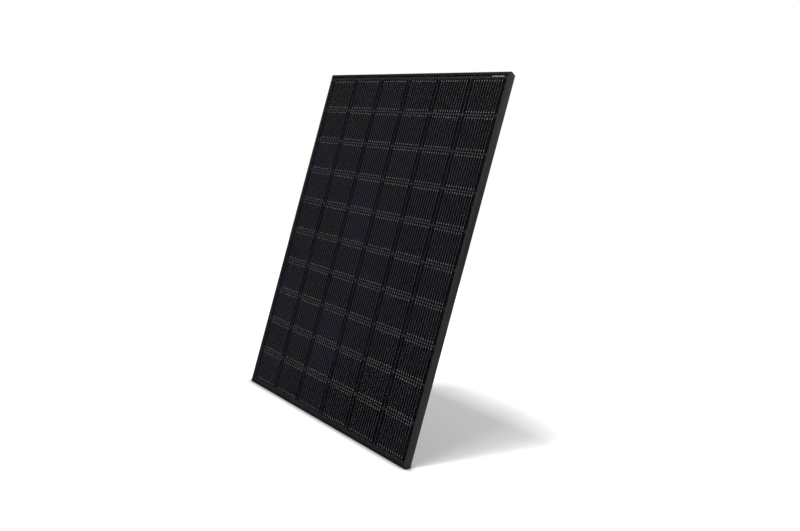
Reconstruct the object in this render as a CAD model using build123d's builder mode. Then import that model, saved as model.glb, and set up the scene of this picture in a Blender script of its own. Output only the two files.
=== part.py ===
from build123d import *
import os

# A framed photovoltaic module with 60 cells in six strings of ten, standing on a short edge.
# Millimetres. X runs across the module and Z along it. The glass faces -Y, and the rear faces
# of the frame's mounting flanges lie on Y = 0, so the origin is the centre of the rear
# mounting plane.

os.makedirs("parts", exist_ok=True)

# ---- Frame -----------------------------------------------------------------------------
module_width = 1016.0
module_height = 1686.0
frame_depth = 40.0
rail_wall = 1.8
lip_width = 11.0
lip_thickness = 1.5
groove_opening = 5.8
shelf_thickness = 1.6
chamber_wall = 1.6
flange_thickness = 1.8
long_flange_width = 30.0
short_flange_width = 22.0
outer_corner_radius = 0.8
lip_edge_radius = 0.4
mitre_gap = 0.05

slot_width = 8.5
slot_length = 12.5
slot_inset = 20.0
outer_slot_spacing = 1300.0
inner_slot_spacing = 800.0
ground_hole_radius = 2.1
ground_hole_spacing = 1100.0
drain_slot_length = 14.0
drain_slot_width = 4.0
drain_slot_offset = 420.0
drain_slot_depth_position = -20.0

key_clearance = 0.05
key_leg_length = 55.0
key_window_length = 24.0
key_window_depth = 15.0
key_window_position = 34.0

# ---- Laminate, from the glass to the backsheet ---------------------------------------------
laminate_edge_gap = 1.5
front_seal_thickness = 0.4
glass_thickness = 2.8
glass_seam = 0.4
front_encapsulant_thickness = 0.5
cell_thickness = 0.2
rear_encapsulant_thickness = 0.9
backsheet_thickness = 0.3
sealant_inset = 1.0

# ---- Cells and their wiring ----------------------------------------------------------------
column_count = 6
row_count = 10
cell_pitch_x = 164.1
cell_pitch_z = 164.2
cell_size = 161.7
cell_corner_chamfer = 9.0
wire_count = 12
wire_pitch = 11.7
wire_size = 0.3
wire_end_margin = 10.0
wire_crossing = 2.0
ribbon_width = 5.0
inner_ribbon_z = 828.5
outer_ribbon_z = 835.5
ribbon_overhang = 3.0

# ---- Junction box ----------------------------------------------------------------------------
box_z = 752.0
box_width = 124.0
box_height = 74.0
box_depth = 17.6
box_wall = 2.2
box_floor = 2.0
box_corner_radius = 6.0
foot_margin = 4.0
foot_thickness = 1.6
adhesive_thickness = 0.8
adhesive_margin = 2.0
window_width = 104.0
window_height = 14.0
foil_exit_z = 775.0
terminal_count = 4
terminal_spacing = 28.0
terminal_width = 16.0
terminal_length = 34.0
terminal_thickness = 1.0
terminal_z = 745.0
terminal_hole_radius = 2.0
terminal_hole_drop = 11.3
diode_width = 10.0
diode_height = 9.0
diode_thickness = 4.0
diode_float = 0.3
diode_edge = 0.5
lead_reach = 9.0
lead_width = 3.0
lead_thickness = 0.6
foil_width = 5.0
foil_thickness = 0.2
foil_lap = 23.0
foil_slot_width = 8.0
foil_slot_height = 3.0
insulator_width = 104.0
insulator_thickness = 0.2
gasket_width = 2.0
gasket_thickness = 0.95
rim_clearance = 0.05
lid_thickness = 2.2
lid_clearance = 0.4
lid_skirt_wall = 2.0
lid_skirt_depth = 2.5
lid_rib_width = 1.2
lid_rib_height = 0.8
lid_edge_radius = 1.0
lid_rib_length = 44.0
lid_rib_pitch = 9.0
lid_rib_count = 9
latch_width = 12.0
latch_depth = 10.0
latch_spacing = 40.0
latch_window_width = 6.0
latch_window_height = 3.0
catch_height = 0.3
catch_clearance = 0.5
gland_spacing = 84.0
gland_y = -23.9
gland_bore_radius = 4.5
gland_thread_radius = 6.0
gland_hole_clearance = 0.1
gland_inner_length = 2.0
gland_collar_flats = 14.0
gland_collar_length = 4.0
gland_stub_radius = 6.5
gland_stub_length = 9.0
seal_outer_radius = 5.2
seal_bore_radius = 3.0
seal_clearance = 0.05
nut_flats = 17.4
nut_length = 12.0
nut_gap = 1.0
nut_bore_radius = 6.6
nut_mouth_radius = 3.8
nut_end_wall = 3.0
nut_edge = 1.0

label_width = 95.0
label_height = 55.0
label_thickness = 0.15
label_corner_radius = 2.0
label_x = 230.0
label_z = 640.0

# ---- Worked-out levels along Y ---------------------------------------------------------------
front_y = -frame_depth
groove_front = front_y + lip_thickness
groove_rear = groove_front + groove_opening
chamber_front = groove_rear + shelf_thickness
chamber_width = lip_width - chamber_wall - rail_wall

glass_front = groove_front + front_seal_thickness
glass_rear = glass_front + glass_thickness
cell_front = glass_rear + front_encapsulant_thickness
cell_rear = cell_front + cell_thickness
encapsulant_rear = cell_rear + rear_encapsulant_thickness
backsheet_rear = encapsulant_rear + backsheet_thickness

front_wire_y = cell_front - wire_size / 2
rear_wire_y = cell_rear + wire_size / 2
insulator_front = cell_rear + wire_size
foil_front = insulator_front + insulator_thickness
foil_rear = foil_front + foil_thickness

box_front = backsheet_rear + adhesive_thickness
floor_rear = box_front + box_floor
rim_y = box_front + box_depth
gasket_front = rim_y + rim_clearance
lid_front = gasket_front + gasket_thickness
lid_rear = lid_front + lid_thickness
skirt_front = lid_front - lid_skirt_depth
terminal_rear = floor_rear + terminal_thickness
box_bottom = box_z - box_height / 2

# ---- Worked-out places across the module -----------------------------------------------------
half_width = module_width / 2
half_height = module_height / 2
laminate_width = module_width - 2 * (rail_wall + laminate_edge_gap)
laminate_height = module_height - 2 * (rail_wall + laminate_edge_gap)
cell_gap_z = cell_pitch_z - cell_size
string_x = [(i - (column_count - 1) / 2) * cell_pitch_x for i in range(column_count)]
wire_offsets = [(i - (wire_count - 1) / 2) * wire_pitch for i in range(wire_count)]
cell_z = [((row_count - 1) / 2 - i) * cell_pitch_z for i in range(row_count)]
wire_x = [x + offset for x in string_x for offset in wire_offsets]
terminal_x = [(i - (terminal_count - 1) / 2) * terminal_spacing for i in range(terminal_count)]
diode_x = [(left + right) / 2 for left, right in zip(terminal_x, terminal_x[1:])]
gland_x = [-gland_spacing / 2, gland_spacing / 2]


def level(y):
    """A sketch plane facing the glass side at depth y, with X across and Z up."""
    return Plane.XZ.offset(-y)


# ---- Frame rails -----------------------------------------------------------------------------
# Each rail is one hollow extrusion, mitred at both ends. It is drawn in its cross-section,
# with local X pointing in from the outer edge and local Y pointing to the rear.
rails = {
    "frame_left": ((-half_width, 0, 0), (1, 0, 0), module_height, long_flange_width),
    "frame_right": ((half_width, 0, 0), (-1, 0, 0), module_height, long_flange_width),
    "frame_top": ((0, 0, half_height), (0, 0, -1), module_width, short_flange_width),
    "frame_bottom": ((0, 0, -half_height), (0, 0, 1), module_width, short_flange_width),
}
for name, (edge, inward, length, flange_width) in rails.items():
    along = Vector(inward).cross(Vector(0, 1, 0))
    section_plane = Plane(origin=edge, x_dir=inward, z_dir=along)
    mitre_plane = Plane(origin=edge, x_dir=inward, z_dir=Vector(inward).cross(along))
    outline = [
        (0, front_y),
        (lip_width, front_y),
        (lip_width, groove_front),
        (rail_wall, groove_front),
        (rail_wall, groove_rear),
        (lip_width, groove_rear),
        (lip_width, -flange_thickness),
        (flange_width, -flange_thickness),
        (flange_width, 0),
        (0, 0),
    ]
    chamber_middle = (rail_wall + chamber_width / 2, (chamber_front - flange_thickness) / 2)
    half_length = length / 2 - mitre_gap
    mitre = [
        (0, -half_length),
        (flange_width, flange_width - half_length),
        (flange_width, half_length - flange_width),
        (0, half_length),
    ]
    with BuildPart() as rail:
        with BuildSketch(section_plane) as section:
            Polygon(*outline, align=None)
            fillet(section.vertices().group_by(Axis.X)[0], outer_corner_radius)
            fillet(section.vertices().sort_by(Axis.Y)[:2].sort_by(Axis.X)[-1], lip_edge_radius)
            with Locations(chamber_middle):
                Rectangle(chamber_width, -flange_thickness - chamber_front, mode=Mode.SUBTRACT)
        extrude(amount=length / 2, both=True)
        with BuildSketch(mitre_plane):
            Polygon(*mitre, align=None)
        extrude(amount=frame_depth, both=True, mode=Mode.INTERSECT)
        if length == module_height:
            slot_x = edge[0] + inward[0] * slot_inset
            slot_places = [
                (slot_x, side * spacing / 2)
                for spacing in (outer_slot_spacing, inner_slot_spacing)
                for side in (-1, 1)
            ]
            hole_places = [(slot_x, side * ground_hole_spacing / 2) for side in (-1, 1)]
            with BuildSketch(Plane.XZ):
                with Locations(*slot_places):
                    SlotOverall(slot_length, slot_width, rotation=90)
                with Locations(*hole_places):
                    Circle(ground_hole_radius)
            extrude(amount=flange_thickness, mode=Mode.SUBTRACT)
        else:
            drain_plane = Plane(origin=edge, x_dir=(1, 0, 0), z_dir=inward)
            rear_sign = 1 if drain_plane.y_dir.Y > 0 else -1
            with BuildSketch(drain_plane):
                with Locations(
                    (-drain_slot_offset, rear_sign * drain_slot_depth_position),
                    (drain_slot_offset, rear_sign * drain_slot_depth_position),
                ):
                    SlotOverall(drain_slot_length, drain_slot_width)
            extrude(amount=lip_width, mode=Mode.SUBTRACT)
    rail.part.label = name
    export_step(rail.part, f"parts/{name}.step")

# ---- Corner keys, pressed into the chambers across each mitre --------------------------------
key_outer = rail_wall + key_clearance
key_inner = rail_wall + chamber_width - key_clearance
key_front = chamber_front + key_clearance
key_depth = -flange_thickness - key_clearance - key_front
corners = {
    "corner_key_top_left": (-1, 1),
    "corner_key_top_right": (1, 1),
    "corner_key_bottom_left": (-1, -1),
    "corner_key_bottom_right": (1, -1),
}
for name, (side_x, side_z) in corners.items():
    corner_x = side_x * half_width
    corner_z = side_z * half_height
    key_outline = [
        (corner_x - side_x * across, corner_z - side_z * down)
        for across, down in (
            (key_outer, key_outer),
            (key_leg_length, key_outer),
            (key_leg_length, key_inner),
            (key_inner, key_inner),
            (key_inner, key_leg_length),
            (key_outer, key_leg_length),
        )
    ]
    window_middle = key_front + key_depth / 2
    with BuildPart() as key:
        with BuildSketch(level(key_front + key_depth)):
            Polygon(*key_outline, align=None)
        extrude(amount=key_depth)
        with Locations(
            (corner_x - side_x * key_window_position, window_middle, corner_z),
            (corner_x, window_middle, corner_z - side_z * key_window_position),
        ):
            Box(key_window_length, key_window_depth, key_window_length, mode=Mode.SUBTRACT)
    key.part.label = name
    export_step(key.part, f"parts/{name}.step")

# ---- Edge sealant: a bead that holds the laminate in the groove ------------------------------
with BuildPart() as edge_sealant:
    with BuildSketch(level(groove_rear)):
        Rectangle(module_width - 2 * rail_wall, module_height - 2 * rail_wall)
        opening_inset = 2 * (lip_width - sealant_inset)
        Rectangle(module_width - opening_inset, module_height - opening_inset, mode=Mode.SUBTRACT)
    extrude(amount=groove_opening)
    with BuildSketch(level(backsheet_rear)):
        Rectangle(laminate_width, laminate_height)
    extrude(amount=backsheet_rear - glass_front, mode=Mode.SUBTRACT)
edge_sealant.part.label = "edge_sealant"
export_step(edge_sealant.part, "parts/edge_sealant.step")

# ---- Laminate sheets -------------------------------------------------------------------------
with BuildPart() as front_glass:
    with BuildSketch(level(glass_rear)):
        Rectangle(laminate_width, laminate_height)
    extrude(amount=glass_thickness)
    chamfer(front_glass.faces().sort_by(Axis.Y)[0].edges(), glass_seam)
    chamfer(front_glass.faces().sort_by(Axis.Y)[-1].edges(), glass_seam)
front_glass.part.label = "front_glass"
export_step(front_glass.part, "parts/front_glass.step")

# The front sheet flowed round the wires on the cells, so its rear face has a groove for each.
with BuildPart() as front_encapsulant:
    with BuildSketch(Plane.XY.offset(-laminate_height / 2)):
        with Locations((0, (glass_rear + cell_front) / 2)):
            Rectangle(laminate_width, front_encapsulant_thickness)
        with Locations(*[(x, front_wire_y) for x in wire_x]):
            Rectangle(wire_size, wire_size, mode=Mode.SUBTRACT)
    extrude(amount=laminate_height)
front_encapsulant.part.label = "front_encapsulant"
export_step(front_encapsulant.part, "parts/front_encapsulant.step")

# Where each lead foil starts: the outer pair on the outer ribbons, the inner pair below them.
foil_start_z = [outer_ribbon_z, inner_ribbon_z, inner_ribbon_z, outer_ribbon_z]
insulator_top = inner_ribbon_z - ribbon_width
insulator_bottom = foil_exit_z - window_height / 2
insulator_length = insulator_top - insulator_bottom
insulator_middle = (insulator_top + insulator_bottom) / 2

# The rear sheet has the same grooves, and a shallow bed for the insulator and the lead foils.
with BuildPart() as rear_encapsulant:
    with BuildSketch(Plane.XY.offset(-laminate_height / 2)):
        with Locations((0, (cell_rear + encapsulant_rear) / 2)):
            Rectangle(laminate_width, rear_encapsulant_thickness)
        with Locations(*[(x, rear_wire_y) for x in wire_x]):
            Rectangle(wire_size, wire_size, mode=Mode.SUBTRACT)
    extrude(amount=laminate_height)
    with BuildSketch(level(foil_front)):
        with Locations((0, insulator_middle)):
            Rectangle(insulator_width, insulator_length)
    extrude(amount=insulator_thickness, mode=Mode.SUBTRACT)
    for x, start_z in zip(terminal_x, foil_start_z):
        with BuildSketch(level(foil_rear)):
            with Locations((x, (foil_exit_z + start_z) / 2)):
                Rectangle(foil_width, start_z - foil_exit_z + foil_thickness)
        extrude(amount=foil_thickness, mode=Mode.SUBTRACT)
        with BuildSketch(level(foil_rear)):
            with Locations((x, start_z)):
                Rectangle(foil_width, foil_thickness)
        extrude(amount=foil_rear - cell_rear, mode=Mode.SUBTRACT)
        with BuildSketch(level(encapsulant_rear)):
            with Locations((x, foil_exit_z)):
                Rectangle(foil_slot_width, foil_slot_height)
        extrude(amount=encapsulant_rear - foil_front, mode=Mode.SUBTRACT)
rear_encapsulant.part.label = "rear_encapsulant"
export_step(rear_encapsulant.part, "parts/rear_encapsulant.step")

with BuildPart() as backsheet:
    with BuildSketch(level(backsheet_rear)):
        Rectangle(laminate_width, laminate_height)
        with Locations(*[(x, foil_exit_z) for x in terminal_x]):
            Rectangle(foil_slot_width, foil_slot_height, mode=Mode.SUBTRACT)
    extrude(amount=backsheet_thickness)
backsheet.part.label = "backsheet"
export_step(backsheet.part, "parts/backsheet.step")

with BuildPart() as lead_insulator:
    with BuildSketch(level(foil_front)):
        with Locations((0, insulator_middle)):
            Rectangle(insulator_width, insulator_length)
    extrude(amount=insulator_thickness)
lead_insulator.part.label = "lead_insulator"
export_step(lead_insulator.part, "parts/lead_insulator.step")

# ---- Cells: ten pseudo-square wafers in each string ------------------------------------------
for number, x in enumerate(string_x, start=1):
    with BuildPart() as cells:
        with BuildSketch(level(cell_rear)) as wafers:
            with Locations(*[(x, z) for z in cell_z]):
                Rectangle(cell_size, cell_size)
            chamfer(wafers.vertices(), cell_corner_chamfer)
        extrude(amount=cell_thickness)
    cells.part.label = f"cell_string_{number}"
    export_step(cells.part, f"parts/cell_string_{number}.step")

# ---- Interconnect wires ------------------------------------------------------------------------
# Each link lies on the front of one cell, steps back through the gap between two rows and
# lies on the rear of the next cell. It is drawn about the middle of that gap.
link_reach = cell_pitch_z - cell_gap_z / 2 - wire_end_margin
half_crossing = wire_crossing / 2
with BuildPart() as link_wire:
    with BuildSketch(Plane.YZ):
        with BuildLine():
            Polyline(
                (front_wire_y, link_reach),
                (front_wire_y, half_crossing),
                (rear_wire_y, -half_crossing),
                (rear_wire_y, -link_reach),
            )
        trace(line_width=wire_size)
    extrude(amount=wire_size / 2, both=True)
link_down = link_wire.part
link_up = link_down.mirror(Plane.XY)
gap_z = [z - cell_pitch_z / 2 for z in cell_z[:-1]]
end_cell_z = cell_z[0]
tail_bottom = end_cell_z - cell_size / 2 + wire_end_margin

for number, x in enumerate(string_x, start=1):
    runs_down = number % 2 == 1
    link = link_down if runs_down else link_up
    top_level = rear_wire_y if runs_down else front_wire_y
    bottom_level = front_wire_y if runs_down else rear_wire_y
    on_outer_ribbon = number in (1, column_count)
    top_ribbon_z = outer_ribbon_z if on_outer_ribbon else inner_ribbon_z
    top_reach = top_ribbon_z + ribbon_width / 2
    bottom_reach = inner_ribbon_z + ribbon_width / 2
    top_length = top_reach - tail_bottom
    bottom_length = bottom_reach - tail_bottom
    with BuildPart() as wires:
        with Locations(*[(x + offset, 0, z) for offset in wire_offsets for z in gap_z]):
            add(link, clean=False)
        with Locations(
            *[(x + offset, top_level, top_reach - top_length / 2) for offset in wire_offsets]
        ):
            Box(wire_size, wire_size, top_length)
        with Locations(
            *[(x + offset, bottom_level, bottom_length / 2 - bottom_reach) for offset in wire_offsets]
        ):
            Box(wire_size, wire_size, bottom_length)
    wires.part.label = f"string_wires_{number}"
    export_step(wires.part, f"parts/string_wires_{number}.step")

# ---- Ribbons that join the strings in series, between the front and rear wire levels ---------
wire_span = (wire_count - 1) * wire_pitch
first_wire_x = string_x[0] - wire_span / 2 - ribbon_overhang
outer_end_x = abs(terminal_x[0]) - ribbon_overhang
inner_end_x = abs(terminal_x[1]) - ribbon_overhang
inner_start_x = string_x[1] - wire_span / 2 - ribbon_overhang
ribbons = {
    "top_ribbon_outer_left": (first_wire_x, -outer_end_x, outer_ribbon_z),
    "top_ribbon_inner_left": (inner_start_x, -inner_end_x, inner_ribbon_z),
    "top_ribbon_inner_right": (inner_end_x, -inner_start_x, inner_ribbon_z),
    "top_ribbon_outer_right": (outer_end_x, -first_wire_x, outer_ribbon_z),
}
for pair, side in enumerate(("left", "middle", "right")):
    pair_start = string_x[2 * pair] - wire_span / 2 - ribbon_overhang
    pair_end = string_x[2 * pair + 1] + wire_span / 2 + ribbon_overhang
    ribbons[f"bottom_ribbon_{side}"] = (pair_start, pair_end, -inner_ribbon_z)
for name, (start_x, end_x, z) in ribbons.items():
    with BuildPart() as ribbon:
        with BuildSketch(level(cell_rear)):
            with Locations(((start_x + end_x) / 2, z)):
                Rectangle(end_x - start_x, ribbon_width)
        extrude(amount=cell_thickness)
    ribbon.part.label = name
    export_step(ribbon.part, f"parts/{name}.step")

# ---- Lead foils: from the ribbons, behind the top cells, out to the terminal rails -----------
foil_middle = (foil_front + foil_rear) / 2
foil_on_terminal = terminal_rear + foil_thickness / 2
for number, (x, start_z) in enumerate(zip(terminal_x, foil_start_z), start=1):
    with BuildPart() as foil:
        with BuildSketch(Plane.YZ.offset(x)):
            with BuildLine():
                Polyline(
                    (cell_rear, start_z),
                    (foil_middle, start_z),
                    (foil_middle, foil_exit_z),
                    (foil_on_terminal, foil_exit_z),
                    (foil_on_terminal, foil_exit_z - foil_lap),
                )
            trace(line_width=foil_thickness)
        extrude(amount=foil_width / 2, both=True)
    foil.part.label = f"lead_foil_{number}"
    export_step(foil.part, f"parts/lead_foil_{number}.step")

# ---- Junction box ----------------------------------------------------------------------------
with BuildPart() as box_adhesive:
    with BuildSketch(level(box_front)):
        with Locations((0, box_z)):
            Rectangle(box_width + 2 * adhesive_margin, box_height + 2 * adhesive_margin)
        with Locations((0, foil_exit_z)):
            Rectangle(window_width, window_height, mode=Mode.SUBTRACT)
    extrude(amount=adhesive_thickness)
box_adhesive.part.label = "box_adhesive"
export_step(box_adhesive.part, "parts/box_adhesive.step")

latch_places = [
    (side_x * latch_spacing / 2, side_z) for side_x in (-1, 1) for side_z in (-1, 1)
]
with BuildPart() as box_base:
    with BuildSketch(level(box_front + foot_thickness)):
        with Locations((0, box_z)):
            RectangleRounded(
                box_width + 2 * foot_margin, box_height + 2 * foot_margin, box_corner_radius
            )
    extrude(amount=foot_thickness)
    with BuildSketch(level(rim_y)):
        with Locations((0, box_z)):
            RectangleRounded(box_width, box_height, box_corner_radius)
    extrude(amount=box_depth)
    with BuildSketch(level(rim_y)):
        with Locations((0, box_z)):
            RectangleRounded(
                box_width - 2 * box_wall, box_height - 2 * box_wall, box_corner_radius - box_wall
            )
    extrude(amount=rim_y - floor_rear, mode=Mode.SUBTRACT)
    with BuildSketch(level(floor_rear)):
        with Locations((0, foil_exit_z)):
            Rectangle(window_width, window_height)
    extrude(amount=box_floor, mode=Mode.SUBTRACT)
    with Locations(*[Plane((x, gland_y, box_bottom), z_dir=(0, 0, 1)) for x in gland_x]):
        Cylinder(
            gland_thread_radius + gland_hole_clearance,
            box_wall,
            align=(Align.CENTER, Align.CENTER, Align.MIN),
            mode=Mode.SUBTRACT,
        )
    with Locations(
        *[
            (x, skirt_front - latch_depth / 2, box_z + side * (box_height + catch_height) / 2)
            for x, side in latch_places
        ]
    ):
        Box(
            latch_window_width - 2 * catch_clearance,
            latch_window_height - 2 * catch_clearance,
            catch_height,
        )
box_base.part.label = "box_base"
export_step(box_base.part, "parts/box_base.step")

lid_inner_width = box_width + 2 * lid_clearance
lid_inner_height = box_height + 2 * lid_clearance
lid_width = lid_inner_width + 2 * lid_skirt_wall
lid_height = lid_inner_height + 2 * lid_skirt_wall
lid_corner_radius = box_corner_radius + lid_clearance + lid_skirt_wall
with BuildPart() as box_lid:
    with BuildSketch(level(lid_rear)):
        with Locations((0, box_z)):
            RectangleRounded(lid_width, lid_height, lid_corner_radius)
    extrude(amount=lid_rear - skirt_front)
    fillet(box_lid.faces().sort_by(Axis.Y)[-1].edges(), lid_edge_radius)
    with BuildSketch(level(lid_front)):
        with Locations((0, box_z)):
            RectangleRounded(
                lid_inner_width, lid_inner_height, box_corner_radius + lid_clearance
            )
    extrude(amount=lid_skirt_depth, mode=Mode.SUBTRACT)
    for x, side in latch_places:
        latch_z = box_z + side * (lid_height - lid_skirt_wall) / 2
        with Locations((x, skirt_front - latch_depth / 2, latch_z)):
            Box(latch_width, latch_depth, lid_skirt_wall)
            Box(latch_window_width, latch_window_height, lid_skirt_wall, mode=Mode.SUBTRACT)
    with BuildSketch(level(lid_rear + lid_rib_height)):
        with Locations((0, box_z)):
            with GridLocations(lid_rib_pitch, 0, lid_rib_count, 1):
                SlotOverall(lid_rib_length, lid_rib_width, rotation=90)
    extrude(amount=lid_rib_height)
box_lid.part.label = "box_lid"
export_step(box_lid.part, "parts/box_lid.step")

with BuildPart() as box_gasket:
    with BuildSketch(level(lid_front)):
        with Locations((0, box_z)):
            RectangleRounded(box_width, box_height, box_corner_radius)
            RectangleRounded(
                box_width - 2 * gasket_width,
                box_height - 2 * gasket_width,
                box_corner_radius - gasket_width,
                mode=Mode.SUBTRACT,
            )
    extrude(amount=gasket_thickness)
box_gasket.part.label = "box_gasket"
export_step(box_gasket.part, "parts/box_gasket.step")

for number, x in enumerate(terminal_x, start=1):
    with BuildPart() as terminal:
        with BuildSketch(level(terminal_rear)):
            with Locations((x, terminal_z)):
                Rectangle(terminal_width, terminal_length)
            with Locations((x, terminal_z - terminal_hole_drop)):
                Circle(terminal_hole_radius, mode=Mode.SUBTRACT)
        extrude(amount=terminal_thickness)
    terminal.part.label = f"terminal_rail_{number}"
    export_step(terminal.part, f"parts/terminal_rail_{number}.step")

for number, x in enumerate(diode_x, start=1):
    with BuildPart() as diode:
        with Locations((x, floor_rear + diode_float + diode_thickness / 2, terminal_z)):
            Box(diode_width, diode_thickness, diode_height)
        chamfer(diode.faces().sort_by(Axis.Y)[-1].edges(), diode_edge)
        with Locations((x, terminal_rear + lead_thickness / 2, terminal_z)):
            Box(2 * lead_reach, lead_thickness, lead_width)
    diode.part.label = f"bypass_diode_{number}"
    export_step(diode.part, f"parts/bypass_diode_{number}.step")

# ---- Cable glands ----------------------------------------------------------------------------
collar_z = box_bottom - gland_collar_length
stub_end_z = collar_z - gland_stub_length
seal_length = gland_stub_length
for side, x in zip(("left", "right"), gland_x):
    axis_origin = (x, gland_y, 0)
    down = (Align.CENTER, Align.CENTER, Align.MAX)
    with BuildPart(Plane(origin=axis_origin)) as gland_body:
        with Locations((0, 0, box_bottom + box_wall + gland_inner_length)):
            Cylinder(gland_thread_radius, box_wall + gland_inner_length, align=down)
        with BuildSketch(Plane(origin=(x, gland_y, collar_z))):
            RegularPolygon(gland_collar_flats / 2, 6, major_radius=False)
        extrude(amount=gland_collar_length)
        with Locations((0, 0, collar_z)):
            Cylinder(gland_stub_radius, gland_stub_length, align=down)
            Cylinder(seal_outer_radius, gland_stub_length, align=down, mode=Mode.SUBTRACT)
        with Locations((0, 0, box_bottom + box_wall + gland_inner_length)):
            Cylinder(
                gland_bore_radius,
                box_wall + gland_inner_length + gland_collar_length,
                align=down,
                mode=Mode.SUBTRACT,
            )
    gland_body.part.label = f"gland_body_{side}"
    export_step(gland_body.part, f"parts/gland_body_{side}.step")

    with BuildPart(Plane(origin=axis_origin)) as gland_seal:
        with Locations((0, 0, collar_z)):
            Cylinder(seal_outer_radius - seal_clearance, seal_length, align=down)
            Cylinder(seal_bore_radius, seal_length, align=down, mode=Mode.SUBTRACT)
    gland_seal.part.label = f"gland_seal_{side}"
    export_step(gland_seal.part, f"parts/gland_seal_{side}.step")

    nut_top = collar_z - nut_gap
    with BuildPart(Plane(origin=axis_origin)) as gland_nut:
        with BuildSketch(Plane(origin=(x, gland_y, nut_top - nut_length))):
            RegularPolygon(nut_flats / 2, 6, major_radius=False)
        extrude(amount=nut_length)
        chamfer(gland_nut.faces().sort_by(Axis.Z)[0].edges(), nut_edge)
        with Locations((0, 0, nut_top)):
            Cylinder(nut_bore_radius, nut_length - nut_end_wall, align=down, mode=Mode.SUBTRACT)
            Cylinder(nut_mouth_radius, nut_length, align=down, mode=Mode.SUBTRACT)
    gland_nut.part.label = f"gland_nut_{side}"
    export_step(gland_nut.part, f"parts/gland_nut_{side}.step")

# ---- Blank rating label on the backsheet -----------------------------------------------------
with BuildPart() as rating_label:
    with BuildSketch(level(backsheet_rear + label_thickness)):
        with Locations((label_x, label_z)):
            RectangleRounded(label_width, label_height, label_corner_radius)
    extrude(amount=label_thickness)
rating_label.part.label = "rating_label"
export_step(rating_label.part, "parts/rating_label.step")
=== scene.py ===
"""Studio scene of a framed solar module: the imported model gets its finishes, and the cells, the
wires on them and the glass in front of them are built here in more detail. Metres throughout."""

import math

import bmesh
import bpy
from mathutils import Matrix, Vector


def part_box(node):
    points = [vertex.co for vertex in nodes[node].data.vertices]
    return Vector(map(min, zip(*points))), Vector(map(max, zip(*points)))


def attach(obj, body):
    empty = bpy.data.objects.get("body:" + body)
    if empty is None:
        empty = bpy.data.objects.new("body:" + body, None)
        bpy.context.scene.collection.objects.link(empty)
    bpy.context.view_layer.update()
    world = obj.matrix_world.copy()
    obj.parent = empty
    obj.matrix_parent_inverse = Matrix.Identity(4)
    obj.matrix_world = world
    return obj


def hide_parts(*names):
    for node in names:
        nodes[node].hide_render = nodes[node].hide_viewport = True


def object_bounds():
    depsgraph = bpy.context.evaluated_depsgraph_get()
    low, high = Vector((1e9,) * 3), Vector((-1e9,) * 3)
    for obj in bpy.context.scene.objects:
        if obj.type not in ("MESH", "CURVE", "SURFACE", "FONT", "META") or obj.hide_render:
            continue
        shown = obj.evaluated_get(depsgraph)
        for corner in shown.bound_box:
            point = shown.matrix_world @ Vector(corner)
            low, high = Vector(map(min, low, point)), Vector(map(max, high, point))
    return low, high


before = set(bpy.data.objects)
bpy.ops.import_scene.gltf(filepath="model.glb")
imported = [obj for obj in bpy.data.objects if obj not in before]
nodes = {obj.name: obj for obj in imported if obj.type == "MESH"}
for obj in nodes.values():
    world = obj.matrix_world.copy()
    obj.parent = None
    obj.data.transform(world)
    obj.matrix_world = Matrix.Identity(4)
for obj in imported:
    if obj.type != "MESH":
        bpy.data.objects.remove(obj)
cad_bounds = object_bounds()

BODY = "module"
COLUMNS = 6
ROWS = 10
WIRES_PER_CELL = 12

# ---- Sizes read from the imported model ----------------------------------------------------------
string_low, string_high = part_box("cell_string_1")
last_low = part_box("cell_string_6")[0]
cell_size = string_high.x - string_low.x
pitch_x = (last_low.x - string_low.x) / (COLUMNS - 1)
pitch_z = (string_high.z - string_low.z - cell_size) / (ROWS - 1)
cell_front = string_low.y
cell_rear = string_high.y
wires_low, wires_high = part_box("string_wires_1")
wire_box_size = cell_front - wires_low.y
wire_pitch = (wires_high.x - wires_low.x - wire_box_size) / (WIRES_PER_CELL - 1)
column_x = [(i - (COLUMNS - 1) / 2) * pitch_x for i in range(COLUMNS)]
row_z = [((ROWS - 1) / 2 - i) * pitch_z for i in range(ROWS)]
wire_offsets = [(i - (WIRES_PER_CELL - 1) / 2) * wire_pitch for i in range(WIRES_PER_CELL)]

# ---- Sizes of what is added here ---------------------------------------------------------------
WIRE_RADIUS = 0.00020
WIRE_NARROW_RADIUS = 0.00015
WIRE_SIDES = 8
WIRE_END_MARGIN = 0.010
WIRE_CROSSING = 0.0010
WIRE_TAPER_PADS = 1.6
BEND_WIDTH = 0.0008
BEND_BEFORE_GAP = 0.0024
BEND_PAST_GAP = 0.0008
PAD_FROM_EDGE = 0.01271
PAD_WIDTH = 0.0018
PAD_LENGTH = 0.0056
PAD_THICKNESS = 0.00004
PAD_ARC_STEPS = 4
CELL_CHAMFER = 0.009
CELL_EDGE_GAP = 0.0008
CELL_TONE = 0.0007
FINGER_PITCH = 0.0014
FINGER_WIDTH = 0.00006
FINGER_COLOUR = (0.012, 0.012, 0.0125)
GLOW_WIDTH = 0.0011
GLOW_COLOUR = (0.0370, 0.0366, 0.0372)
LABEL_MARGIN = 0.003
LABEL_LINE = 0.0004
LABEL_RULE_PITCH = 0.0062
RIM_WIDTH = 0.0035
RIM_COLOUR = (0.0100, 0.0100, 0.0108)
SMOOTH_ANGLE = math.radians(40)
GLASS_SEAM = 0.0004
LIP_WIDTH = 0.011
BAR_WIDTH = 0.0048
BAR_LENGTH = 0.056
BAR_FROM_LIP = 0.047
BAR_FROM_TOP = 0.0165
BAR_FRONT_GAP = 0.00002
BAR_THICKNESS = 0.00004
FLOOR_SIZE = 60.0
FLOOR_DROP = 0.0004
FLOOR_TONE = (0.90, 0.90, 0.90)
# Floor colour used only where reflections see the floor: painted shade in the reflections on the
# module.
REFLECTED_FLOOR_SHADE = (0.48, 0.48, 0.48)
CONTACT_SHADE_REACH = 0.045
FILL_LIGHT = 0.42
FRONT_REFLECTION = 0.58
REAR_REFLECTION = 0.18

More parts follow.
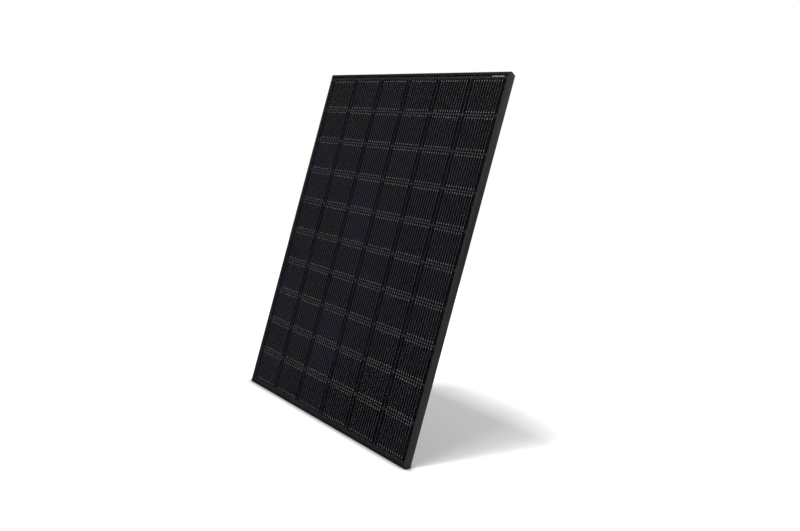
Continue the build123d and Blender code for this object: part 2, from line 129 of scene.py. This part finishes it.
# Each light: its name, the direction it shines in, its strength and its angle in degrees.
LIGHTS = [
    ("key_light_1", (0.180, 0.78, -1.0), 0.85, 6.0),
    ("key_light_2", (0.195, 0.96, -1.0), 1.15, 6.0),
    ("key_light_3", (0.200, 1.16, -1.0), 1.15, 8.0),
    ("key_light_4", (0.040, 1.48, -1.0), 1.15, 12.0),
    ("rear_fill", (-0.45, -1.0, -1.0), 0.9, 60.0),
]

# The camera was fitted to the corners of the frame in the photo.
SENSOR_WIDTH = 36.0
LENS = 21.6
LENS_SHIFT = (0.0247, -0.0094)
CAMERA_PLACE = (1.4040, -1.8154, -0.0254)
CAMERA_VIEW = (-0.5897, 0.8076, -0.0031)
CAMERA_UP = (-0.2100, -0.1496, 0.9662)

# Cells whose coating came out violet, as (column, row) from the top left.
VIOLET_CELLS = {
    (1, 3), (1, 4), (1, 7), (1, 8), (1, 10),
    (3, 4), (3, 5), (3, 8), (3, 9), (3, 10),
}
SOFT_VIOLET_CELLS = {(1, 6), (3, 6), (3, 1), (2, 4)}


# ---- Node helpers ------------------------------------------------------------------------------
class Shader:
    """A small wrapper round a material's node tree."""

    def __init__(self, name):
        self.material = bpy.data.materials.new(name)
        self.material.use_nodes = True
        self.tree = self.material.node_tree
        self.tree.nodes.clear()
        self.output = self.add("ShaderNodeOutputMaterial")
        self.coords = self.add("ShaderNodeTexCoord").outputs["Object"]

    def add(self, kind, **settings):
        node = self.tree.nodes.new(kind)
        for key, value in settings.items():
            setattr(node, key, value)
        return node

    def plug(self, value, socket):
        if isinstance(value, bpy.types.NodeSocket):
            self.tree.links.new(value, socket)
        else:
            socket.default_value = value

    def math(self, operation, a, b=0.0, c=0.0):
        node = self.add("ShaderNodeMath", operation=operation)
        for value, socket in zip((a, b, c), node.inputs):
            self.plug(value, socket)
        return node.outputs[0]

    def stretch(self, scale):
        """Object coordinates times the scale: a pattern is drawn out where the scale is small."""
        node = self.add("ShaderNodeMapping")
        self.plug(self.coords, node.inputs["Vector"])
        node.inputs["Scale"].default_value = scale
        return node.outputs[0]

    def noise(self, scale, detail=3.0, roughness=0.5, stretch=None):
        node = self.add("ShaderNodeTexNoise")
        self.plug(self.stretch(stretch) if stretch else self.coords, node.inputs["Vector"])
        node.inputs["Scale"].default_value = scale
        node.inputs["Detail"].default_value = detail
        node.inputs["Roughness"].default_value = roughness
        return node.outputs["Fac"]

    def spread(self, value, low, high, from_low=0.3, from_high=0.7):
        """Carries value from one range to another, and holds it inside the new range."""
        node = self.add("ShaderNodeMapRange")
        for socket, number in zip(node.inputs, (value, from_low, from_high, low, high)):
            self.plug(number, socket)
        return node.outputs[0]

    def mix(self, factor, a, b):
        node = self.add("ShaderNodeMix", data_type="RGBA")
        self.plug(factor, node.inputs["Factor"])
        self.plug((*a, 1.0) if isinstance(a, tuple) else a, node.inputs[6])
        self.plug((*b, 1.0) if isinstance(b, tuple) else b, node.inputs[7])
        return node.outputs[2]

    def bump(self, height, strength, distance, normal=None):
        node = self.add("ShaderNodeBump")
        node.inputs["Strength"].default_value = strength
        node.inputs["Distance"].default_value = distance
        self.plug(height, node.inputs["Height"])
        if normal is not None:
            self.plug(normal, node.inputs["Normal"])
        return node.outputs[0]

    def principled(self, base, roughness, metallic=0.0, specular=0.5, normal=None, **extra):
        node = self.add("ShaderNodeBsdfPrincipled")
        self.plug((*base, 1.0) if isinstance(base, tuple) else base, node.inputs["Base Color"])
        self.plug(roughness, node.inputs["Roughness"])
        node.inputs["Metallic"].default_value = metallic
        node.inputs["Specular IOR Level"].default_value = specular
        for key, value in extra.items():
            node.inputs[key.replace("_", " ").title()].default_value = value
        if normal is not None:
            self.plug(normal, node.inputs["Normal"])
        self.tree.links.new(node.outputs[0], self.output.inputs["Surface"])
        return self.material


def grained(name, dark, light, patch, grain, roughness, bump, metallic=0.0, specular=0.5,
            stretch=None, **extra):
    """A surface with broad patches of tone, a fine grain, and roughness that follows both."""
    shader = Shader(name)
    patches = shader.noise(patch, 4.0, 0.55, stretch)
    fine = shader.noise(grain, 2.0, 0.6, stretch)
    tone = shader.math("MULTIPLY_ADD", shader.spread(fine, 0.0, 1.0), 0.35,
                       shader.math("MULTIPLY", shader.spread(patches, 0.0, 1.0), 0.65))
    shine = shader.spread(tone, roughness[0], roughness[1], 0.0, 1.0)
    normal = shader.bump(fine, bump[0], bump[1])
    return shader.principled(shader.mix(tone, dark, light), shine, metallic, specular, normal,
                             **extra)


# ---- Materials ---------------------------------------------------------------------------------
def anodised(name, along, dark, light):
    """Black anodised extrusion: fine die lines run along the rail, with slow changes of tone."""
    shader = Shader(name)
    fine_lines = (1.0, 1.0, 0.004) if along == "Z" else (0.004, 1.0, 1.0)
    broad_lines = (1.0, 1.0, 0.02) if along == "Z" else (0.02, 1.0, 1.0)
    lines = shader.noise(2600.0, 2.0, 0.7, fine_lines)
    bands = shader.noise(420.0, 3.0, 0.6, broad_lines)
    clouds = shader.noise(9.0, 4.0, 0.55)
    grain = shader.noise(2200.0, 1.0, 0.5)
    cloud_part = shader.math("MULTIPLY", shader.spread(clouds, 0.0, 1.0), 0.30)
    band_part = shader.math("MULTIPLY_ADD", shader.spread(bands, 0.0, 1.0), 0.40, cloud_part)
    tone = shader.math("MULTIPLY_ADD", shader.spread(lines, 0.0, 1.0), 0.30, band_part)
    base = shader.mix(tone, dark, light)
    shine = shader.spread(tone, 0.50, 0.40, 0.0, 1.0)
    relief = shader.math("MULTIPLY_ADD", grain, 0.35, lines)
    normal = shader.bump(relief, 0.18, 0.00006)
    return shader.principled(base, shine, 0.0, 0.07, normal)


def cell_surface(name, tint):
    """Textured silicon under a blue-black coating, with printed fingers across each cell. The
    tint is the coating's colour in steps of CELL_TONE."""
    shader = Shader(name)
    split = shader.add("ShaderNodeSeparateXYZ")
    shader.plug(shader.coords, split.inputs[0])
    x, z = split.outputs["X"], split.outputs["Z"]

    def cell_place(value, pitch, count):
        """The number of the cell along one axis, and the place in it from -0.5 to 0.5."""
        shifted = shader.math("ADD", shader.math("DIVIDE", value, pitch), count / 2)
        place = shader.math("SUBTRACT", shader.math("FRACT", shifted), 0.5)
        return shader.math("FLOOR", shifted), place

    column, across = cell_place(x, pitch_x, COLUMNS)
    row, down = cell_place(z, pitch_z, ROWS)
    index = shader.add("ShaderNodeCombineXYZ")
    shader.plug(column, index.inputs[0])
    shader.plug(row, index.inputs[1])
    chance = shader.add("ShaderNodeTexWhiteNoise", noise_dimensions="3D")
    shader.plug(index.outputs[0], chance.inputs["Vector"])

    # Distances from the middle of the cell, in metres.
    off_middle = shader.math("ABSOLUTE", shader.math("MULTIPLY", across, pitch_x))
    off_level = shader.math("ABSOLUTE", shader.math("MULTIPLY", down, pitch_z))
    border = cell_size / 2 - CELL_EDGE_GAP
    between_ends = shader.math("LESS_THAN", off_level, border)

    finger_step = shader.math("FRACT", shader.math("DIVIDE", z, FINGER_PITCH))
    finger = shader.math("LESS_THAN", finger_step, FINGER_WIDTH / FINGER_PITCH)
    between_sides = shader.math("LESS_THAN", off_middle, border)
    inside = shader.math("MULTIPLY", between_sides, between_ends)
    printed = shader.math("MULTIPLY", finger, inside)

    # Light that each bright wire throws on the cell beside it, as a soft band.
    from_middle = shader.math("MULTIPLY", across, pitch_x)
    in_pitches = shader.math("DIVIDE", from_middle, wire_pitch)
    phase = shader.math("FRACT", shader.math("ADD", in_pitches, WIRES_PER_CELL / 2))
    from_wire = shader.math("MULTIPLY", shader.math("SUBTRACT", phase, 0.5), wire_pitch)
    in_glow_widths = shader.math("DIVIDE", from_wire, GLOW_WIDTH)
    squared = shader.math("MULTIPLY", in_glow_widths, in_glow_widths)
    band = shader.math("EXPONENT", shader.math("MULTIPLY", squared, -1.0))
    among_wires = shader.math("LESS_THAN", off_middle, wire_pitch * WIRES_PER_CELL / 2)
    glow = shader.math("MULTIPLY", band, shader.math("MULTIPLY", among_wires, between_ends))

    farther = shader.math("MAXIMUM", off_middle, off_level)
    from_edge = shader.math("SUBTRACT", cell_size / 2, farther)
    rim = shader.spread(from_edge, 1.0, 0.0, 0.0, RIM_WIDTH)

    clouds = shader.spread(shader.noise(14.0, 4.0, 0.6), 0.0, 1.0)
    tone = shader.math("MULTIPLY_ADD", clouds, 0.5,
                       shader.math("MULTIPLY", chance.outputs["Value"], 0.5))
    dark = tuple(CELL_TONE * value for value in tint)
    light = tuple(1.5 * CELL_TONE * value for value in tint)
    silicon = shader.mix(tone, dark, light)
    rimmed = shader.mix(shader.math("MULTIPLY", rim, rim), silicon, RIM_COLOUR)
    lit = shader.mix(glow, rimmed, GLOW_COLOUR)
    base = shader.mix(printed, lit, FINGER_COLOUR)
    shine = shader.spread(tone, 0.36, 0.28, 0.0, 1.0)
    grain = shader.noise(700.0, 1.0, 0.5)
    normal = shader.bump(grain, 0.06, 0.00004)
    return shader.principled(base, shine, 0.0, 0.030, normal)


def solar_glass(name):
    """Tempered low-reflection glass with the fine rolled texture of its front face."""
    shader = Shader(name)
    pebble = shader.add("ShaderNodeTexVoronoi", feature="SMOOTH_F1")
    shader.plug(shader.coords, pebble.inputs["Vector"])
    pebble.inputs["Scale"].default_value = 900.0
    swell = shader.noise(7.0, 2.0, 0.5)
    relief = shader.math("MULTIPLY_ADD", pebble.outputs["Distance"], 0.2, swell)
    normal = shader.bump(relief, 0.12, 0.0006)
    gloss = shader.add("ShaderNodeBsdfGlossy")
    gloss.inputs["Color"].default_value = (0.97, 0.97, 1.0, 1.0)
    shader.plug(shader.spread(swell, 0.24, 0.32), gloss.inputs["Roughness"])
    shader.plug(normal, gloss.inputs["Normal"])
    clear = shader.add("ShaderNodeBsdfTransparent")
    clear.inputs["Color"].default_value = (0.97, 0.97, 0.97, 1.0)
    fresnel = shader.add("ShaderNodeFresnel")
    fresnel.inputs["IOR"].default_value = 1.04
    front_only = shader.math("SUBTRACT", 1.0,
                             shader.add("ShaderNodeNewGeometry").outputs["Backfacing"])
    blend = shader.add("ShaderNodeMixShader")
    shader.plug(shader.math("MULTIPLY", fresnel.outputs[0], front_only), blend.inputs[0])
    shader.plug(clear.outputs[0], blend.inputs[1])
    shader.plug(gloss.outputs[0], blend.inputs[2])
    shader.plug(blend.outputs[0], shader.output.inputs["Surface"])
    return shader.material


def ruled_film(name, node_name):
    """Pale label film with a plain printed border and rules, and no lettering."""
    shader = Shader(name)
    low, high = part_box(node_name)
    split = shader.add("ShaderNodeSeparateXYZ")
    shader.plug(shader.coords, split.inputs[0])

    def past_edge(value, first, last):
        centred = shader.math("SUBTRACT", value, (first + last) / 2)
        return shader.math("SUBTRACT", shader.math("ABSOLUTE", centred),
                           (last - first) / 2 - LABEL_MARGIN)

    depth = shader.math("MAXIMUM", past_edge(split.outputs["X"], low.x, high.x),
                        past_edge(split.outputs["Z"], low.z, high.z))
    border = shader.math("LESS_THAN", shader.math("ABSOLUTE", depth), LABEL_LINE / 2)
    step = shader.math("FRACT", shader.math("DIVIDE", split.outputs["Z"], LABEL_RULE_PITCH))
    rule = shader.math("MULTIPLY", shader.math("LESS_THAN", step, LABEL_LINE / LABEL_RULE_PITCH),
                       shader.math("LESS_THAN", depth, 0.0))
    ink = shader.math("MAXIMUM", border, rule)
    clouds = shader.spread(shader.noise(30.0, 4.0, 0.55), 0.0, 1.0)
    grain = shader.noise(900.0, 2.0, 0.6)
    paper = shader.mix(clouds, (0.50, 0.50, 0.49), (0.58, 0.58, 0.56))
    base = shader.mix(ink, paper, (0.045, 0.045, 0.045))
    shine = shader.spread(clouds, 0.5, 0.38, 0.0, 1.0)
    return shader.principled(base, shine, 0.0, 0.4, shader.bump(grain, 0.1, 0.00003))


# The upright rails get lighter colours than the level rails, though both are the same anodising: a
# painted sheen on the uprights and painted shade on the level rails, for how differently their die
# lines catch the light.
rail_z = anodised("anodised_upright_painted_sheen", "Z", (0.0114, 0.0099, 0.0094), (0.0172, 0.0151, 0.0141))
rail_x = anodised("anodised_level_painted_shade", "X", (0.0036, 0.0034, 0.0033), (0.0062, 0.0058, 0.0056))
glass = solar_glass("solar_glass")
cell_black = cell_surface("cell_black", (1.0, 0.98, 2.4))
cell_soft_violet = cell_surface("cell_soft_violet", (1.5, 1.1, 3.8))
cell_violet = cell_surface("cell_violet", (2.3, 1.5, 5.8))
tinned = grained("tinned_wire", (0.07, 0.07, 0.071), (0.10, 0.10, 0.101), 60.0, 1400.0,
                 (0.50, 0.38), (0.2, 0.00003), metallic=1.0)
silver_pad = grained("silver_pad", (0.24, 0.24, 0.235), (0.30, 0.30, 0.295), 300.0, 3000.0,
                     (0.62, 0.50), (0.2, 0.00003), specular=0.3)
blackened = grained("blackened_wire", (0.006, 0.006, 0.0064), (0.010, 0.010, 0.0106),
                    200.0, 2000.0, (0.60, 0.45), (0.2, 0.00002), specular=0.1)
pigmented = grained("pigmented_sheet", (0.0080, 0.0080, 0.0088), (0.0110, 0.0110, 0.0120),
                    20.0, 1200.0, (0.65, 0.5), (0.15, 0.00003), specular=0.1)
rear_film = grained("rear_film", (0.0105, 0.0105, 0.0112), (0.0155, 0.0155, 0.0163), 18.0, 1500.0,
                    (0.44, 0.34), (0.25, 0.00006), specular=0.4)
silicone = grained("silicone_bead", (0.008, 0.008, 0.008), (0.016, 0.016, 0.016), 60.0, 900.0,
                   (0.62, 0.5), (0.3, 0.0001), specular=0.3)
moulded = grained("moulded_plastic", (0.021, 0.021, 0.021), (0.034, 0.034, 0.034), 40.0, 1300.0,
                  (0.56, 0.42), (0.35, 0.00008), specular=0.5)
elastomer = grained("soft_elastomer", (0.020, 0.020, 0.021), (0.034, 0.034, 0.035), 90.0, 800.0,
                    (0.8, 0.65), (0.3, 0.0001), specular=0.3)
cast_metal = grained("cast_metal", (0.34, 0.34, 0.35), (0.52, 0.52, 0.52), 80.0, 700.0,
                     (0.55, 0.4), (0.3, 0.0001), metallic=1.0)
tinned_plate = grained("tinned_plate", (0.50, 0.46, 0.38), (0.68, 0.63, 0.52), 70.0, 900.0,
                       (0.42, 0.28), (0.12, 0.00005), metallic=1.0, stretch=(1.0, 1.0, 0.05))
epoxy = grained("moulded_epoxy", (0.016, 0.016, 0.017), (0.026, 0.026, 0.027), 150.0, 1500.0,
                (0.4, 0.3), (0.2, 0.00004), specular=0.5)
label_film = ruled_film("label_film", "rating_label")
printed_bar = grained("printed_bar", (0.13, 0.13, 0.135), (0.17, 0.17, 0.175), 300.0, 2500.0,
                      (0.6, 0.5), (0.1, 0.00002), specular=0.2)


def named(*starts):
    """The nodes whose names start with any of the given words."""
    return [name for name in nodes if name.startswith(starts)]


FINISHES = {
    rail_z: ["frame_left", "frame_right"],
    rail_x: ["frame_top", "frame_bottom"],
    cast_metal: named("corner_key"),
    silicone: ["edge_sealant", "box_adhesive"],
    pigmented: ["rear_encapsulant"],
    rear_film: ["backsheet", "lead_insulator"],
    moulded: named("box_base", "box_lid", "gland_body", "gland_nut"),
    elastomer: named("box_gasket", "gland_seal"),
    tinned_plate: named("terminal_rail", "lead_foil"),
    epoxy: named("bypass_diode"),
    label_film: ["rating_label"],
    blackened: [name for name in nodes if "_ribbon_" in name],
}
for finish, names in FINISHES.items():
    for name in names:
        for slot in nodes[name].material_slots:
            slot.material = finish


# ---- Mesh helpers ------------------------------------------------------------------------------
def piece(name, bm, materials, replaces=(), smooth=False):
    """Turns a bmesh into a piece of the module."""
    bmesh.ops.recalc_face_normals(bm, faces=bm.faces)
    mesh = bpy.data.meshes.new(name)
    bm.to_mesh(mesh)
    bm.free()
    for material in materials:
        mesh.materials.append(material)
    if smooth:
        mesh.shade_smooth()
        mesh.set_sharp_from_angle(angle=SMOOTH_ANGLE)
    obj = bpy.data.objects.new(name, mesh)
    bpy.context.scene.collection.objects.link(obj)
    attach(obj, BODY)
    if replaces:
        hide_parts(*replaces)


def prism(bm, outline, y_front, y_rear, material_index=0):
    """A flat plate with the (x, z) outline, from y_front to y_rear."""
    front = [bm.verts.new((x, y_front, z)) for x, z in outline]
    rear = [bm.verts.new((x, y_rear, z)) for x, z in outline]
    faces = [bm.faces.new(front), bm.faces.new(rear[::-1])]
    for i in range(len(outline)):
        j = (i + 1) % len(outline)
        faces.append(bm.faces.new((front[i], rear[i], rear[j], front[j])))
    for face in faces:
        face.material_index = material_index


def wire(bm, x, path, material_index=0):
    """A round wire at x that follows (y, z, radius) points."""
    rings = []
    for y, z, radius in path:
        ring = []
        for k in range(WIRE_SIDES):
            turn = 2 * math.pi * k / WIRE_SIDES
            ring.append(bm.verts.new((x + radius * math.cos(turn), y + radius * math.sin(turn), z)))
        rings.append(ring)
    faces = [bm.faces.new(rings[0]), bm.faces.new(rings[-1][::-1])]
    for low, high in zip(rings, rings[1:]):
        for k in range(WIRE_SIDES):
            n = (k + 1) % WIRE_SIDES
            faces.append(bm.faces.new((low[k], low[n], high[n], high[k])))
    for face in faces:
        face.material_index = material_index


def stadium(width, length):
    """Outline of a strip with round ends, as (x, z) points."""
    radius = width / 2
    points = []
    for end in (1, -1):
        for step in range(PAD_ARC_STEPS + 1):
            turn = math.pi * step / PAD_ARC_STEPS
            points.append((end * radius * math.cos(turn),
                           end * (length / 2 - radius + radius * math.sin(turn))))
    return points


# ---- Cells -------------------------------------------------------------------------------------
half_cell = cell_size / 2
cut = half_cell - CELL_CHAMFER
wafer = [(-half_cell, -cut), (-cut, -half_cell), (cut, -half_cell), (half_cell, -cut),
         (half_cell, cut), (cut, half_cell), (-cut, half_cell), (-half_cell, cut)]
for column, x in enumerate(column_x, start=1):
    bm = bmesh.new()
    for row, z in enumerate(row_z, start=1):
        place = (column, row)
        shade = 2 if place in VIOLET_CELLS else 1 if place in SOFT_VIOLET_CELLS else 0
        prism(bm, [(x + dx, z + dz) for dx, dz in wafer], cell_front, cell_rear, shade)
    piece(f"cells_column_{column}", bm, (cell_black, cell_soft_violet, cell_violet),
          (f"cell_string_{column}",))

# ---- Wires and the pads they are soldered to ---------------------------------------------------
pad_outline = stadium(PAD_WIDTH, PAD_LENGTH)
front_y = cell_front - WIRE_RADIUS - PAD_THICKNESS
rear_y = cell_rear + WIRE_RADIUS
pad_reach = half_cell - PAD_FROM_EDGE
taper_end = pad_reach + WIRE_TAPER_PADS * PAD_LENGTH
run_end = half_cell - WIRE_END_MARGIN
top_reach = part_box("top_ribbon_inner_left")[1].z
for column, x in enumerate(column_x, start=1):
    # The wires of odd columns lead down to the next cell, and those of even columns lead up.
    leading = -1 if column % 2 == 1 else 1
    last_row = ROWS - 1 if leading == -1 else 0
    bm = bmesh.new()
    for offset in wire_offsets:
        for row, z in enumerate(row_z):
            path = [(front_y, z - leading * run_end, WIRE_RADIUS),
                    (front_y, z + leading * (pad_reach + PAD_LENGTH), WIRE_RADIUS),
                    (front_y, z + leading * taper_end, WIRE_NARROW_RADIUS)]
            if row == last_row:
                path.append((front_y, z + leading * half_cell, WIRE_NARROW_RADIUS))
                wire(bm, x + offset, path)
                tail = [(front_y, z + leading * half_cell, WIRE_NARROW_RADIUS),
                        (front_y, leading * top_reach, WIRE_NARROW_RADIUS)]
                wire(bm, x + offset, tail, 2)
            else:
                gap = z + leading * pitch_z / 2
                path += [(front_y, gap - leading * WIRE_CROSSING, WIRE_NARROW_RADIUS),
                         (rear_y, gap + leading * WIRE_CROSSING, WIRE_NARROW_RADIUS),
                         (rear_y, gap + leading * (pitch_z / 2 + run_end), WIRE_NARROW_RADIUS)]
                wire(bm, x + offset, path)
                low, high = sorted((gap - leading * BEND_BEFORE_GAP, gap + leading * BEND_PAST_GAP))
                bend = [(x + offset + side * BEND_WIDTH / 2, level)
                        for side, level in ((-1, low), (1, low), (1, high), (-1, high))]
                prism(bm, bend, front_y, front_y + PAD_THICKNESS, 1)
            for end in (-1, 1):
                prism(bm, [(x + offset + dx, z + end * pad_reach + dz) for dx, dz in pad_outline],
                      cell_front - PAD_THICKNESS, cell_front, 1)
    piece(f"wires_column_{column}", bm, (tinned, silver_pad, blackened),
          (f"string_wires_{column}",), smooth=True)

# ---- Glass, with the clear sheet that bonds it to the cells ------------------------------------
glass_low, glass_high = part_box("front_glass")
bm = bmesh.new()
levels = ((glass_low.y, GLASS_SEAM), (glass_low.y + GLASS_SEAM, 0.0),
          (cell_front - GLASS_SEAM / 2, 0.0))
loops = []
for y, inset in levels:
    left, right = glass_low.x + inset, glass_high.x - inset
    bottom, top = glass_low.z + inset, glass_high.z - inset
    corners = ((left, bottom), (right, bottom), (right, top), (left, top))
    loops.append([bm.verts.new((x, y, z)) for x, z in corners])
bm.faces.new(loops[0])
bm.faces.new(loops[-1][::-1])
for first, second in zip(loops, loops[1:]):
    for i in range(4):
        j = (i + 1) % 4
        bm.faces.new((first[i], second[i], second[j], first[j]))
piece("glass_cover", bm, (glass,), ("front_glass", "front_encapsulant"))

# A plain printed bar on the rear of the glass, in the margin near the top right corner.
bar_middle_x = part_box("frame_right")[1].x - LIP_WIDTH - BAR_FROM_LIP
bar_middle_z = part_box("frame_top")[1].z - BAR_FROM_TOP
bar_front = glass_high.y + BAR_FRONT_GAP
bm = bmesh.new()
prism(bm, [(bar_middle_x + dx, bar_middle_z + dz) for dz, dx in stadium(BAR_WIDTH, BAR_LENGTH)],
      bar_front, bar_front + BAR_THICKNESS)
piece("edge_bar", bm, (printed_bar,))

# ---- Floor and light ---------------------------------------------------------------------------
bm = bmesh.new()
bmesh.ops.create_grid(bm, x_segments=1, y_segments=1, size=FLOOR_SIZE)
mesh = bpy.data.meshes.new("studio_floor")
bm.to_mesh(mesh)
bm.free()
floor = bpy.data.objects.new("studio_floor", mesh)
floor.location = (0.0, 0.0, cad_bounds[0][2] - FLOOR_DROP)
bpy.context.scene.collection.objects.link(floor)
shader = Shader("studio_paint")
occlusion = shader.add("ShaderNodeAmbientOcclusion")
occlusion.inputs["Distance"].default_value = CONTACT_SHADE_REACH
shade = shader.math("POWER", shader.spread(occlusion.outputs["AO"], 0.12, 1.0, 0.35, 1.0), 1.3)
# The floor is painted darker where reflections see it: painted shade in the reflections on the
# module.
seen_in_reflection = shader.add("ShaderNodeLightPath").outputs["Is Glossy Ray"]
paint = shader.mix(seen_in_reflection, FLOOR_TONE, REFLECTED_FLOOR_SHADE)
paint = shader.mix(shade, (0.0, 0.0, 0.0), paint)
mesh.materials.append(shader.principled(paint, 0.9, specular=0.0))

world = bpy.data.worlds.new("studio")
bpy.context.scene.world = world
world.use_nodes = True
tree = world.node_tree
tree.nodes.clear()


def world_node(kind, **settings):
    node = tree.nodes.new(kind)
    for key, value in settings.items():
        setattr(node, key, value)
    return node


def background(strength):
    """White light from all round, of a strength that is a number or a socket."""
    node = world_node("ShaderNodeBackground")
    node.inputs["Color"].default_value = (1.0, 1.0, 1.0, 1.0)
    if isinstance(strength, bpy.types.NodeSocket):
        tree.links.new(strength, node.inputs["Strength"])
    else:
        node.inputs["Strength"].default_value = strength
    return node.outputs[0]


def choose(factor, otherwise, chosen):
    node = world_node("ShaderNodeMixShader")
    for value, socket in zip((factor, otherwise, chosen), node.inputs):
        tree.links.new(value, socket)
    return node.outputs[0]


# The studio is bright in front of the glass and dim behind it, which shows only in reflections.
towards = world_node("ShaderNodeSeparateXYZ")
tree.links.new(world_node("ShaderNodeTexCoord").outputs["Generated"], towards.inputs[0])
depth = world_node("ShaderNodeMapRange", interpolation_type="SMOOTHSTEP")
tree.links.new(towards.outputs["Y"], depth.inputs["Value"])
for key, number in (("From Min", -0.6), ("From Max", 0.7),
                    ("To Min", FRONT_REFLECTION), ("To Max", REAR_REFLECTION)):
    depth.inputs[key].default_value = number
path_kind = world_node("ShaderNodeLightPath")
lit = choose(path_kind.outputs["Is Glossy Ray"], background(FILL_LIGHT),
             background(depth.outputs[0]))
seen = choose(path_kind.outputs["Is Camera Ray"], lit, background(1.0))
tree.links.new(seen, world_node("ShaderNodeOutputWorld").inputs["Surface"])

for name, toward, strength, angle in LIGHTS:
    sun = bpy.data.lights.new(name, "SUN")
    sun.energy = strength
    sun.angle = math.radians(angle)
    lamp = bpy.data.objects.new(name, sun)
    lamp.rotation_euler = Vector(toward).to_track_quat("-Z", "Y").to_euler()
    bpy.context.scene.collection.objects.link(lamp)

# ---- Camera ------------------------------------------------------------------------------------
camera_data = bpy.data.cameras.new("camera")
camera_data.sensor_width = SENSOR_WIDTH
camera_data.lens = LENS
camera_data.shift_x, camera_data.shift_y = LENS_SHIFT
camera_data.clip_end = 200.0
camera = bpy.data.objects.new("camera", camera_data)
view = Vector(CAMERA_VIEW).normalized()
right = view.cross(Vector(CAMERA_UP)).normalized()
up = right.cross(view)
turned = Matrix((right, up, -view)).transposed().to_4x4()
camera.matrix_world = Matrix.Translation(CAMERA_PLACE) @ turned
bpy.context.scene.collection.objects.link(camera)
bpy.context.scene.camera = camera
bpy.context.scene.view_settings.view_transform = "Standard"
